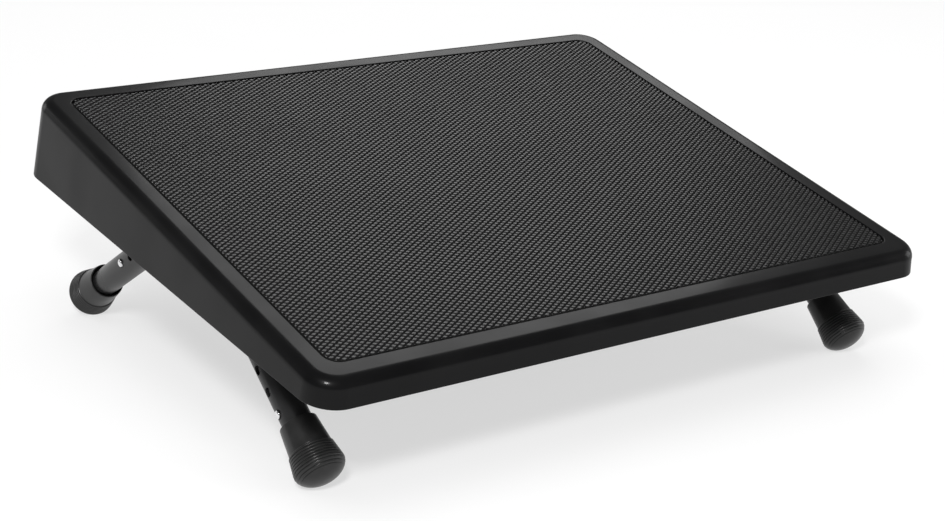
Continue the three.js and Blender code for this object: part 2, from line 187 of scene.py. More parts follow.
def picked_corners(piece: Piece) -> set[int]:
    """The numbers of the vertices of an opened piece's picked faces.

    Args:
        piece: The opened piece.

    Returns:
        The vertices' numbers.
    """
    mesh = bmesh.from_edit_mesh(piece.data)
    mesh.verts.index_update()
    return {vert.index for face in mesh.faces if face.select for vert in face.verts}


def is_upright(edge: bmesh.types.BMEdge) -> bool:
    """Whether an edge stands straight up."""
    low, high = (vert.co.xy for vert in edge.verts)
    return (high - low).length < TOUCH


def merge() -> None:
    """Merges what touches in the opened piece, and leaves all of it selected."""
    pick_all()
    bpy.ops.mesh.remove_doubles(threshold=TOUCH)


def draw_out(x: float = 0.0, y: float = 0.0, z: float = 0.0) -> None:
    """Extrudes what is picked by a step."""
    bpy.ops.mesh.extrude_region_move(TRANSFORM_OT_translate={"value": (x, y, z)})


def resize(about: Sequence[float], x: float = 1.0, y: float = 1.0, z: float = 1.0) -> None:
    """Scales what is picked about a point."""
    bpy.ops.transform.resize(value=(x, y, z), center_override=tuple(about))


def face_outwards() -> None:
    """Turns every face of the opened piece outwards, once its doubles are merged."""
    merge()
    bpy.ops.mesh.normals_make_consistent(inside=False)


def trim(point: Sequence[float], beyond: Sequence[float], fill: bool = False) -> None:
    """Cuts the picked part of the opened piece along a plane.

    Args:
        point: A point of the plane.
        beyond: The direction in which everything past the plane goes.
        fill: Whether the cut is closed with a face.
    """
    bpy.ops.mesh.bisect(
        plane_co=tuple(point),
        plane_no=tuple(beyond),
        use_fill=fill,
        clear_outer=True,
        threshold=TOUCH,
    )


def block(name: str, low: Sequence[float], high: Sequence[float]) -> Piece:
    """A plain blank between two corners, to be shaped further.

    Args:
        name: What the piece is called.
        low: Its lowest corner.
        high: Its highest corner.

    Returns:
        The blank.
    """
    middle = [(a + b) / 2 for a, b in zip(low, high)]
    size = [b - a for a, b in zip(low, high)]
    let_go()
    bpy.ops.mesh.primitive_cube_add(size=1, location=middle, scale=size)
    piece = bpy.context.object
    piece.name = name
    bpy.ops.object.transform_apply()
    let_go()
    return piece


def circle(name: str, sides: int, radius: float, middle: Sequence[float], **how: Any) -> Piece:
    """A circle of straight sides, to be drawn out.

    Args:
        name: What the piece is called.
        sides: How many sides it has.
        radius: Its radius, to its corners.
        middle: Where its middle is.
        how: Whether it is filled, and how it is turned.

    Returns:
        The circle.
    """
    let_go()
    bpy.ops.mesh.primitive_circle_add(vertices=sides, radius=radius, location=middle, **how)
    piece = bpy.context.object
    piece.name = name
    bpy.ops.object.transform_apply()
    return piece


def turned(name: str, profile: Profile, sides: int, ring: bool = False) -> Piece:
    """A piece turned about Z: a circle is drawn out and resized from step to step.

    Args:
        name: What the piece is called.
        profile: Radius and height at each step.
        sides: How many sides the circle has.
        ring: Whether the last step joins the first, as on a tube; otherwise both ends are closed.

    Returns:
        The closed piece.
    """
    radius, height = profile[0]
    piece = circle(name, sides, radius, (0, 0, height))
    with opened(piece):
        pick_all()
        if not ring:
            bpy.ops.mesh.edge_face_add()
            pick(piece, Kind.EDGE, lambda edge: True)
        for next_radius, next_height in [*profile[1:], *(profile[:1] if ring else [])]:
            draw_out(z=next_height - height)
            share = next_radius / radius
            resize((0, 0, next_height), share, share)
            radius, height = next_radius, next_height
        if not ring:
            bpy.ops.mesh.edge_face_add()
        face_outwards()
    return piece


def added(name: str, data: bpy.types.ID) -> Piece:
    """A new object of the scene, with its mesh, lamp or camera.

    Args:
        name: What the object is called.
        data: Its mesh, lamp or camera.

    Returns:
        The object.
    """
    piece = bpy.data.objects.new(name, data)
    bpy.context.scene.collection.objects.link(piece)
    return piece


def copy_of(piece: Piece, name: str) -> Piece:
    """A loose copy of a piece, with a mesh of its own."""
    return added(name, piece.data.copy())


def copy_of_node(node: str, name: str) -> Piece:
    """A copy of a node of the frame, with its loose triangles merged.

    Args:
        node: The node's name.
        name: What the copy is called.

    Returns:
        The copy.
    """
    copy = copy_of(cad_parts[node], name)
    with opened(copy):
        merge()
    return copy


def discard(*pieces: Piece) -> None:
    """Removes pieces that only served to make others."""
    for piece in pieces:
        bpy.data.objects.remove(piece)


def put(piece: Piece, place: Matrix) -> Piece:
    """Carries a piece to its place, which goes into its mesh.

    Args:
        piece: The piece.
        place: Where it goes, from where its mesh lies.

    Returns:
        The piece.
    """
    piece.matrix_world = place
    hold(piece)
    bpy.ops.object.transform_apply()
    let_go()
    return piece


def placed(pattern: Piece, name: str, place: Matrix) -> Piece:
    """A copy of a pattern, carried to its place."""
    return put(copy_of(pattern, name), place)


def shift(x: float = 0.0, y: float = 0.0, z: float = 0.0) -> Matrix:
    """A move by a step."""
    return Matrix.Translation((x, y, z))


def outboard(side: Side) -> Matrix:
    """The turn that points Z away from the middle, to a side."""
    return Matrix.Rotation(side.value * QUARTER_TURN, 4, "Y")


def joined(name: str, pieces: Sequence[Piece]) -> Piece:
    """Makes several pieces one.

    Args:
        name: What the whole is called.
        pieces: What it is made of.

    Returns:
        The whole, which is the first of them.
    """
    hold(*pieces)
    bpy.ops.object.join()
    let_go()
    pieces[0].name = name
    return pieces[0]


def apply_modifier(piece: Piece, kind: str, **settings: Any) -> None:
    """Adds a modifier to a piece and applies it.

    Args:
        piece: The piece.
        kind: The modifier's type.
        settings: Its settings by name.
    """
    modifier = piece.modifiers.new(kind.title(), kind)
    for name, value in settings.items():
        setattr(modifier, name, value)
    hold(piece)
    bpy.ops.object.modifier_apply(modifier=modifier.name)
    let_go()


def cut(piece: Piece, cutter: Piece) -> None:
    """Cuts the shape of another piece out of a piece, and removes the other."""
    apply_modifier(piece, "BOOLEAN", operation="DIFFERENCE", object=cutter, solver="EXACT")
    discard(cutter)


def drill(side: Side, place: Sequence[float]) -> Piece:
    """A drill through a tube's outboard wall, from a place on the tube's middle line."""
    bit = turned("drill", ((HOLE_RADIUS, 0), (HOLE_RADIUS, DRILL_LENGTH)), DRILL_SIDES)
    return put(bit, Matrix.Translation(place) @ outboard(side))


def soften(piece: Piece, width: float, steps: int = 2, sharp_from: float = 50.0) -> None:
    """Rounds off every edge of a piece that is sharper than an angle in degrees.

    Args:
        piece: The piece.
        width: How far the rounding reaches from the edge.
        steps: How many flats it has.
        sharp_from: The angle in degrees.
    """
    apply_modifier(
        piece,
        "BEVEL",
        width=width,
        segments=steps,
        limit_method="ANGLE",
        angle_limit=math.radians(sharp_from),
    )


def smooth(piece: Piece, sharp_from: float) -> None:
    """Shades a piece smooth up to an angle in degrees.

    Args:
        piece: The piece.
        sharp_from: The angle in degrees.
    """
    hold(piece)
    bpy.ops.object.shade_smooth_by_angle(angle=math.radians(sharp_from))
    let_go()


# Finishes


@dataclass(frozen=True)
class Wire:
    """A value in a finish's graph, with the arithmetic that finishes use."""

    graph: "Graph"
    socket: bpy.types.NodeSocket

    def _sum(self, operation: str, first: Any, second: Any) -> "Wire":
        """The result of one Math node."""
        return self.graph.wire("ShaderNodeMath", {0: first, 1: second}, operation=operation)

    def __add__(self, other: Any) -> "Wire":
        """This plus another."""
        return self._sum("ADD", self, other)

    def __radd__(self, other: float) -> "Wire":
        """A number plus this."""
        return self._sum("ADD", other, self)

    def __sub__(self, other: Any) -> "Wire":
        """This less another."""
        return self._sum("SUBTRACT", self, other)

    def __rsub__(self, other: float) -> "Wire":
        """A number less this."""
        return self._sum("SUBTRACT", other, self)

    def __mul__(self, other: Any) -> "Wire":
        """This times another."""
        return self._sum("MULTIPLY", self, other)

    def __rmul__(self, other: float) -> "Wire":
        """A number times this."""
        return self._sum("MULTIPLY", other, self)


class Graph:
    """The nodes of one finish."""

    def __init__(self, name: str) -> None:
        """Starts a finish from the plain shader.

        Args:
            name: The finish's name.
        """
        self.material = bpy.data.materials.new(name)
        self.material.use_nodes = True
        self.tree = self.material.node_tree
        self.shader = self.tree.nodes["Principled BSDF"]

    def feed(self, node: bpy.types.Node, inputs: dict[Any, Any]) -> None:
        """Gives sockets of a node their values, or links them to their wires.

        Args:
            node: The node.
            inputs: Values or wires for its sockets, by name or number.
        """
        for name, value in inputs.items():
            if isinstance(value, Wire):
                self.tree.links.new(value.socket, node.inputs[name])
            else:
                node.inputs[name].default_value = value

    def add(self, kind: str, inputs: dict[Any, Any], **settings: Any) -> bpy.types.Node:
        """Adds a node.

        Args:
            kind: The node's type.
            inputs: Values or wires for its sockets, by name or number.
            settings: Its settings by name.

        Returns:
            The node.
        """
        node = self.tree.nodes.new(kind)
        for name, value in settings.items():
            setattr(node, name, value)
        self.feed(node, inputs)
        return node

    def wire(self, kind: str, inputs: dict[Any, Any], out: Any = 0, **settings: Any) -> Wire:
        """Adds a node and takes one of its outputs."""
        return Wire(self, self.add(kind, inputs, **settings).outputs[out])

    def place(self) -> Wire:
        """The place on the piece, in metres."""
        return self.wire("ShaderNodeTexCoord", {}, "Object")

    def clouds(self, place: Wire, size: float, detail: float) -> Wire:
        """Soft noise whose features measure about a size, from 0 to 1."""
        inputs = {"Vector": place, "Scale": 1 / size, "Detail": detail}
        return self.wire("ShaderNodeTexNoise", inputs)

    def band(self, value: Wire, low: float, high: float) -> Wire:
        """How far a value has come from one number to another, from 0 to 1."""
        inputs = {"Value": value, "From Min": low, "From Max": high}
        return self.wire("ShaderNodeMapRange", inputs, interpolation_type="SMOOTHSTEP")

    def blend(self, share: Wire, first: Any, second: Any) -> Wire:
        """A mix of two colours, each a wire or three numbers.

        Args:
            share: How much of the second one there is.
            first: The first colour.
            second: The second colour.

        Returns:
            The mixed colour.
        """
        colours = [c if isinstance(c, Wire) else (*c, 1.0) for c in (first, second)]
        inputs = {0: share, 6: colours[0], 7: colours[1]}
        return self.wire("ShaderNodeMix", inputs, 2, data_type="RGBA")

    def relief(self, height: Wire, depth: float) -> Wire:
        """A surface relief of a depth in metres."""
        inputs = {"Height": height, "Distance": depth, "Strength": 1.0}
        return self.wire("ShaderNodeBump", inputs)


@dataclass(frozen=True)
class Finish:
    """A surface with a fine grain, and broad patches that differ a little in tone and gloss.

    Its slot is a second name for the material, which nothing here reads. It is
    shaded smooth up to an angle in degrees, and broad faces keep flat where it is levelled.
    """

    name: str
    colour: tuple[float, float, float]
    worn_colour: tuple[float, float, float]
    roughness: float
    gloss: float = 0.5
    metallic: float = 0.0
    coat: float = 0.0
    coat_roughness: float = 0.12
    roughness_play: float = 0.06
    grain_size: float = 0.5 * MM
    grain_depth: float = 0.01 * MM
    grain_detail: float = 3.0
    patch_size: float = 45 * MM
    patch_detail: float = 2.0
    patch_edges: tuple[float, float] = (0.3, 0.7)
    slot: str = ""
    sharp_from: float = 40.0
    levelled: bool = True

    def tone(self, graph: Graph, place: Wire, patches: Wire) -> Wire:
        """The colour over the surface."""
        return graph.blend(patches, self.colour, self.worn_colour)

    def sheen(self, graph: Graph, place: Wire, patches: Wire) -> Wire:
        """The roughness over the surface."""
        return self.roughness + (patches - 0.5) * (2 * self.roughness_play)

    def make(self) -> bpy.types.Material:
        """Mixes the finish.

        Returns:
            Its material.
        """
        graph = Graph(self.name)
        place = graph.place()
        patches = graph.clouds(place, self.patch_size, self.patch_detail)
        patches = graph.band(patches, *self.patch_edges)
        grain = graph.clouds(place, self.grain_size, self.grain_detail)
        values = {
            "Base Color": self.tone(graph, place, patches),
            "Roughness": self.sheen(graph, place, patches),
            "Metallic": self.metallic,
            "Specular IOR Level": self.gloss,
            "Coat Weight": self.coat,
            "Coat Roughness": self.coat_roughness,
            "Normal": graph.relief(grain, self.grain_depth),
        }
        graph.feed(graph.shader, values)
        return graph.material


@dataclass(frozen=True)
class TreadFinish(Finish):
    """Moulded rubber that is duller below its crowns, with painted shade that darkens its grooves
    there.
    """

    # Painted shade: a near-black colour laid into the grooves below the crowns.
    groove_colour: tuple[float, float, float] = (0.002, 0.002, 0.002)
    groove_roughness: float = 0.9
    crown_height: float = 16.8 * MM
    dull_below: float = 0.45 * MM
    bright_above: float = 0.08 * MM

    def _rise(self, graph: Graph, place: Wire) -> Wire:
        """How far the surface has risen from its dull shoulders, which carry the painted shade, to
        its crowns.

        Args:
            graph: The finish's nodes.
            place: The place on the piece.

        Returns:
            From 0 on the shoulders to 1 on the crowns.
        """
        normal = (0, -math.sin(REST_TILT), math.cos(REST_TILT))
        inputs = {0: place, 1: normal}
        height = graph.wire("ShaderNodeVectorMath", inputs, "Value", operation="DOT_PRODUCT")
        crown = self.crown_height + PIVOT.dot(Vector(normal))
        return graph.band(height, crown - self.dull_below, crown - self.bright_above)

    def tone(self, graph: Graph, place: Wire, patches: Wire) -> Wire:
        """The colour over the surface, darkened below the crowns by painted shade in the grooves.
        """
        top = super().tone(graph, place, patches)
        return graph.blend(self._rise(graph, place), self.groove_colour, top)

    def sheen(self, graph: Graph, place: Wire, patches: Wire) -> Wire:
        """The roughness over the surface.

        Args:
            graph: The finish's nodes.
            place: The place on the piece.
            patches: How far the place is in a patch.

        Returns:
            The roughness.
        """
        top = super().sheen(graph, place, patches)
        rise = self._rise(graph, place)
        return top * rise + (1 - rise) * self.groove_roughness


MOULDED_PLASTIC = Finish(
    "moulded_plastic",
    (0.0030, 0.0030, 0.0032),
    (0.0042, 0.0042, 0.0044),
    0.36,
    0.06,
    coat=0.14,
    coat_roughness=0.13,
    grain_depth=0.006 * MM,
    slot="shell_plastic",
)
TREAD_RUBBER = TreadFinish(
    "tread_rubber",
    (0.005, 0.005, 0.0052),
    (0.007, 0.007, 0.0073),
    0.34,
    0.44,
    roughness_play=0.012,
    grain_depth=0.004 * MM,
    slot="mat_rubber",
    sharp_from=35.0,
    levelled=False,
)
COATED_STEEL = Finish(
    "coated_steel",
    (0.020, 0.020, 0.0205),
    (0.026, 0.026, 0.0265),
    0.32,
    0.22,
    grain_size=0.9 * MM,
    grain_depth=0.004 * MM,
)
FOOT_RUBBER = Finish(
    "foot_rubber",
    (0.017, 0.017, 0.017),
    (0.022, 0.022, 0.022),
    0.36,
    0.2,
    coat=0.14,
    coat_roughness=0.16,
    grain_depth=0.002 * MM,
    patch_size=9 * MM,
    sharp_from=50.0,
)
BUTTON_STEEL = Finish(
    "button_steel",
    (0.80, 0.80, 0.81),
    (0.72, 0.72, 0.73),
    0.16,
    metallic=1.0,
    grain_depth=0.001 * MM,
    sharp_from=50.0,
)
SCREW_STEEL = Finish(
    "screw_steel",
    (0.58, 0.58, 0.60),
    (0.45, 0.45, 0.47),
    0.30,
    metallic=1.0,
    grain_depth=0.002 * MM,
    sharp_from=30.0,
)
SPRING_STEEL = Finish(
    "spring_steel",
    (0.36, 0.36, 0.38),
    (0.25, 0.25, 0.27),
    0.34,
    metallic=1.0,
    grain_depth=0.002 * MM,
)
NYLON = Finish("nylon", (0.70, 0.69, 0.65), (0.62, 0.61, 0.57), 0.48, patch_size=8 * MM)


class Workshop:
    """Dresses pieces in finishes, each mixed once, and fixes them to the frame."""

    def __init__(self) -> None:
        """Starts with no finish mixed."""
        self.mixed: dict[str, bpy.types.Material] = {}

    def dress(self, piece: Piece, finish: Finish) -> None:
        """Gives a piece one finish all over.

        Args:
            piece: The piece.
            finish: Its finish.
        """
        if finish.name not in self.mixed:
            self.mixed[finish.name] = finish.make()
        piece.data.materials.clear()
        piece.data.materials.append(self.mixed[finish.name])

    def fix(self, piece: Piece, finish: Finish, body: str, *nodes: str) -> None:
        """Finishes a piece and lets it move with a body.

        Args:
            piece: The piece, in its place.
            finish: Its finish.
            body: The body that it rides on.
            nodes: The frame's nodes that it stands for.
        """
        smooth(piece, finish.sharp_from)
        if finish.levelled:
            apply_modifier(piece, "WEIGHTED_NORMAL", keep_sharp=True)
        self.dress(piece, finish)
        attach(piece, body)
        if nodes:
            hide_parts(*nodes)
        LOG.info("%s rides on %s: %d faces", piece.name, body, len(piece.data.polygons))

    def dress_node(self, node: str, finish: Finish) -> None:
        """Gives a node that is shown as it is a finish."""
        self.dress(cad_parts[node], finish)
        LOG.info("%s is shown as it is", node)


def leg_place(side: Side, end: End) -> Matrix:
    """Where a leg's pieces go, leant to its side tube."""
    crossing = AT_PIVOT @ shift(side.value * SIDE_TUBE_X, 0, CROSSING_ABOVE_PIVOT)
    return crossing @ Matrix.Rotation(end.value * (QUARTER_TURN - LEG_ANGLE), 4, "X")


# Sub-assemblies


@dataclass
class PlatformShell:
    """The moulded platform: a wedge with a raised rim round its mat, and skirt walls."""

    width: float = 448 * MM
    depth: float = 355 * MM
    middle: float = 0.4 * MM
    top: float = 16.8 * MM
    corner_radius: float = 18 * MM
    edge_radius: float = 7.5 * MM
    wall: float = 3 * MM
    plate_underside: float = 12 * MM
    front_skirt: float = 15.9 * MM
    back_skirt: float = 54.3 * MM
    blank_depth: float = 70 * MM
    side_draft: float = math.radians(3)
    front_lean: float = math.radians(16.2)
    back_lean: float = math.radians(3)
    side_rim: float = 16 * MM
    front_rim: float = 17.4 * MM
    back_rim: float = 15.5 * MM
    recess_corner: float = 9 * MM
    recess_depth: float = 2.3 * MM
    first_inset: float = 2 * MM
    lip_rounding: float = 0.6 * MM
    corner_steps: int = 12
    edge_steps: int = 8
    lip_steps: int = 3

    def _corner(self, side: int, end: int, height: float) -> Vector:
        """The middle of a corner's round, at a height."""
        x = side * (self.width / 2 - self.corner_radius)
        return Vector((x, self.middle + end * (self.depth / 2 - self.corner_radius), height))

    def _pick_corner(self, skin: Piece, side: int, end: int, accepts: Test) -> None:
        """Picks the vertices in one corner's quarter of the platform that a test accepts.

        Args:
            skin: The opened skin.
            side: -1 for the left corner, 1 for the right one.
            end: -1 for the front corner, 1 for the rear one.
            accepts: The test.
        """

        def in_corner(vert: bmesh.types.BMVert) -> bool:
            """Whether a vertex is one of them."""
            return vert.co.x * side > 0 and (vert.co.y - self.middle) * end > 0 and accepts(vert)

        pick(skin, Kind.VERT, in_corner)

    def _blank(self, name: str, inset: float, top: float) -> Piece:
        """An upside-down box with round corners, open below.

        Args:
            name: What it is called.
            inset: How far its walls stand inside the shell's outline.
            top: The height of its top face.

        Returns:
            The box, with upright walls.
        """
        x, y = self.width / 2 - inset, self.depth / 2 - inset
        low = (-x, self.middle - y, self.top - self.blank_depth)
        blank = block(name, low, (x, self.middle + y, top))
        with opened(blank):
            pick(blank, Kind.FACE, lambda face: face.normal.z < -LEVEL)
            bpy.ops.mesh.delete(type="FACE")
            pick(blank, Kind.EDGE, is_upright)
            bpy.ops.mesh.bevel(
                offset=self.corner_radius - inset, segments=self.corner_steps, affect="EDGES"
            )
        return blank

    def _lean_and_trim(self, blank: Piece, inset: float) -> None:
        """Leans the walls of a box outwards, and trims them to the skirt's slanted bottom.

        Args:
            blank: The box, with upright walls.
            inset: How far its walls stand inside the shell's outline.
        """
        bottom = self.top - self.blank_depth
        drop = self.blank_depth - self.edge_radius
        radius = self.corner_radius - inset
        slope = (self.back_skirt - self.front_skirt) / self.depth
        front = (0, self.middle - self.depth / 2, self.top - self.front_skirt)
        with opened(blank):
            for side, end in CORNERS:
                lean = self.back_lean if end > 0 else self.front_lean
                self._pick_corner(blank, side, end, lambda v: v.co.z < bottom + TOUCH)
                widen = 1 + math.tan(self.side_draft) * drop / radius
                deepen = 1 + math.tan(lean) * drop / radius
                resize(self._corner(side, end, bottom), widen, deepen)
            pick_all()
            trim(front, (0, -slope, -1))

    def _outside(self) -> Piece:
        """The shell's outer skin, with its rounded top edge.

        Returns:
            The skin, open below.
        """
        skin = self._blank("moulded_shell", 0, self.top)
        with opened(skin):
            pick(skin, Kind.EDGE, lambda edge: all(v.co.z > self.top - TOUCH for v in edge.verts))
            bpy.ops.mesh.bevel(offset=self.edge_radius, segments=self.edge_steps, affect="EDGES")
        self._lean_and_trim(skin, 0)
        return skin

    def _inside(self) -> Piece:
        """The shell's inner skin, up to the underside of the top plate.

        Returns:
            The skin, open below.
        """
        skin = self._blank("inner_skin", self.wall, self.top - self.edge_radius)
        self._lean_and_trim(skin, self.wall)
        with opened(skin):
            pick(skin, Kind.FACE, lambda face: face.normal.z > LEVEL)
            draw_out(z=self.plate_underside - self.top + self.edge_radius)
        return skin

    def _sink_recess(self, skin: Piece) -> None:
        """Sinks the mat's recess into the top face, and leaves a rim round it.

        Args:
            skin: The outer skin.
        """
        inset_radius = self.corner_radius - self.edge_radius - self.first_inset
        with opened(skin):
            pick(skin, Kind.FACE, lambda face: face.normal.z > LEVEL)
            bpy.ops.mesh.inset(thickness=self.first_inset)
            ring = picked_corners(skin)
            for side, end in CORNERS:
                old = self._corner(side, end, self.top)
                rim = self.back_rim if end > 0 else self.front_rim
                x = side * (self.width / 2 - self.side_rim - self.recess_corner)
                y = self.middle + end * (self.depth / 2 - rim - self.recess_corner)
                self._pick_corner(skin, side, end, lambda v: v.index in ring)
                share = self.recess_corner / inset_radius
                resize(old, share, share)
                bpy.ops.transform.translate(value=(x - old.x, y - old.y, 0))
            pick(skin, Kind.FACE, lambda face: all(v.index in ring for v in face.verts))
            draw_out(z=-self.recess_depth)

    def build(self, workshop: Workshop) -> None:
        """Moulds the shell.

        Args:
            workshop: What dresses and fixes its pieces.
        """
        skin = self._outside()
        self._sink_recess(skin)
        shell = joined("moulded_shell", [skin, self._inside()])
        with opened(shell):
            pick(shell, Kind.EDGE, lambda edge: edge.is_boundary)
            bpy.ops.mesh.fill()
            bpy.ops.mesh.tris_convert_to_quads(face_threshold=math.pi, shape_threshold=math.pi)
            face_outwards()
        soften(shell, self.lip_rounding, self.lip_steps)
        workshop.fix(put(shell, AT_REST), MOULDED_PLASTIC, "platform", "platform_shell")


@dataclass
class Underside:
    """The ribs, bearing saddles and stop pads moulded under the top plate."""

    rib_thickness: float = 2 * MM
    rib_bottom: float = 2.5 * MM
    inside_plate: float = 13.25 * MM
    front_end: float = -175.6 * MM
    back_end: float = 176.4 * MM
    wall_middle: float = 222.5 * MM
    tube_notch: float = 8.65 * MM
    long_rib_spacing: float = 86 * MM
    first_cross_rib: float = 46 * MM
    cross_rib_spacing: float = 50 * MM
    bearing_width: float = 24 * MM
    saddle_length: float = 46 * MM
    seat_radius: float = 9.75 * MM
    seat_sides: int = 48
    pad_width: float = 12 * MM
    pad_front: float = 37.5 * MM
    pad_back: float = 42.5 * MM
    pad_bottom: float = -0.83 * MM
    rounding: float = 0.4 * MM

    def _rib(self, name: str, low: tuple[float, float], high: tuple[float, float]) -> Piece:
        """One upright rib between two places of its outline."""
        return block(name, (*low, self.rib_bottom), (*high, self.inside_plate))

    def _ribs(self) -> list[Piece]:
        """The grid of ribs, cut away at the cross tube.

        Returns:
            The ribs, one piece each.
        """
        half = self.rib_thickness / 2
        grid = self.long_rib_spacing * 2 + half
        front = self._rib("long_rib_front", (-half, self.front_end), (half, -self.tube_notch))
        rear = self._rib("long_rib_rear", (-half, self.tube_notch), (half, self.back_end))
        ribs = [front, rear]
        for i in (-2, -1, 1, 2):
            for rib in (front, rear):
                ribs.append(placed(rib, f"{rib.name}_{i}", shift(i * self.long_rib_spacing)))
        for i, reach in enumerate((grid, self.wall_middle, self.wall_middle)):
            rib = self._rib("cross_rib", (-reach, -half), (reach, half))
            for way in (-1, 1):
                y = way * (self.first_cross_rib + i * self.cross_rib_spacing)
                ribs.append(placed(rib, f"cross_rib_{i}_{way}", shift(y=y)))
            discard(rib)
        return ribs

    def _saddle(self) -> Piece:
        """A bearing block with a half-round seat.

        Returns:
            The block, in the middle of the footrest.
        """
        x, y = self.bearing_width / 2, self.saddle_length / 2
        saddle = block("saddle", (-x, -y, 0), (x, y, self.inside_plate))
        profile = ((self.seat_radius, -x - MM), (self.seat_radius, x + MM))
        seat = turned("seat", profile, self.seat_sides)
        cut(saddle, put(seat, outboard(Side.RIGHT)))
        return saddle

    def _pad(self) -> Piece:
        """A pad that meets a side tube's crown when the platform lies flat.

        Returns:
            The pad, in the middle of the footrest.
        """
        half = self.pad_width / 2
        low = (-half, self.pad_front, self.pad_bottom)
        return block("stop_pad", low, (half, self.pad_back, self.inside_plate))

    def build(self, workshop: Workshop) -> None:
        """Moulds the underside as one piece.

        Args:
            workshop: What dresses and fixes its pieces.
        """
        parts = self._ribs()
        for part, x in ((self._saddle(), BEARING_X), (self._pad(), SIDE_TUBE_X)):
            for side in Side:
                name = f"{part.name}_{side.word}"
                parts.append(placed(part, name, shift(side.value * x)))
            discard(part)
        grid = joined("moulded_underside", parts)
        soften(grid, self.rounding)
        workshop.fix(put(grid, AT_REST), MOULDED_PLASTIC, "platform")


@dataclass
class TreadMat:
    """The rubber mat, with a lattice of raised lozenges that its edge cuts through."""

    width: float = 413.2 * MM
    depth: float = 319.5 * MM
    middle: float = 1.35 * MM
    corner_radius: float = 7.7 * MM
    top: float = 16.8 * MM
    bottom: float = 14.8 * MM
    half_long: float = 2.874 * MM
    half_short: float = 1.742 * MM
    crown_share: float = 0.5
    shoulder_height: float = 1.06 * MM
    crown_height: float = 0.12 * MM
    corner_cuts: int = 5

    def _lozenge(self) -> Piece:
        """One raised lozenge: steep sides up to a shoulder, and a low crown.

        Returns:
            The lozenge, open below.
        """
        groove = self.top - self.shoulder_height - self.crown_height
        shoulder = groove + self.shoulder_height
        cell = circle("lozenge", 4, self.half_long, (0, 0, groove), fill_type="NGON")
        with opened(cell):
            pick_all()
            resize((0, 0, groove), y=self.half_short / self.half_long)
            draw_out(z=self.shoulder_height)
            resize((0, 0, shoulder), self.crown_share, self.crown_share)
            pick(cell, Kind.FACE, lambda face: face.calc_center_median().z < groove + TOUCH)
            bpy.ops.mesh.delete(type="FACE")
            pick(cell, Kind.FACE, lambda face: face.normal.z > LEVEL)
            bpy.ops.mesh.poke(offset=self.crown_height)
        return cell

    def _lattice(self) -> Piece:
        """The lozenges in rows that stand half a lozenge apart, joined along their grooves.

        Returns:
            The lattice, wider and deeper than the mat.
        """
        cell = self._lozenge()
        steps = (2 * self.half_long, 2 * self.half_short)
        counts = [math.ceil(size / step) + 2 for size, step in zip((self.width, self.depth), steps)]
        for axis in range(2):
            offset = [0.0, 0.0, 0.0]
            offset[axis] = steps[axis]
            apply_modifier(
                cell,
                "ARRAY",
                count=counts[axis],
                use_relative_offset=False,
                use_constant_offset=True,
                constant_offset_displace=offset,
                use_merge_vertices=True,
                merge_threshold=TOUCH,
            )
        start = [-(count - 1) * step / 2 for count, step in zip(counts, steps)]
        put(cell, shift(start[0], start[1] + self.middle))
        between = placed(cell, "between", shift(self.half_long, self.half_short))
        lattice = joined("tread_sheet", [cell, between])
        with opened(lattice):
            merge()
        return lattice

    def _cut_outline(self, sheet: Piece) -> None:
        """Cuts the sheet along its sides and round its corners.

        Args:
            sheet: The lattice.
        """
        x, y = self.width / 2, self.depth / 2
        radius, cell = self.corner_radius, self.half_long
        with opened(sheet):
            for way in (-1, 1):
                pick_all()
                trim((way * x, 0, 0), (way, 0, 0))
                pick_all()
                trim((0, self.middle + way * y, 0), (0, way, 0))
            for side, end in CORNERS:
                middle = Vector((side * (x - radius), self.middle + end * (y - radius), 0))
                for step in range(self.corner_cuts):
                    turn = (step + 0.5) / self.corner_cuts * QUARTER_TURN
                    beyond = Vector((side * math.cos(turn), end * math.sin(turn), 0))

                    def near_cut(face: bmesh.types.BMFace) -> bool:
                        """Whether a face is in the corner, at the cut or past it.

                        Args:
                            face: The face.

                        Returns:
                            Whether it is.
                        """
                        off = face.calc_center_median() - middle
                        if off.x * side <= -cell or off.y * end <= -cell:
                            return False
                        return off.dot(beyond) > radius - 2 * cell

                    pick(sheet, Kind.FACE, near_cut)
                    trim(middle + radius * beyond, beyond)

    def build(self, workshop: Workshop) -> None:
        """Makes the mat and lays it into its recess.

        Args:
            workshop: What dresses and fixes its pieces.
        """
        sheet = self._lattice()
        self._cut_outline(sheet)
        with opened(sheet):
            pick(sheet, Kind.EDGE, lambda edge: edge.is_boundary)
            draw_out(z=self.bottom - self.top)
            resize((0, 0, self.bottom), z=0)
            bpy.ops.mesh.edge_face_add()
            face_outwards()
        workshop.fix(put(sheet, AT_REST), TREAD_RUBBER, "platform", "tread_mat")


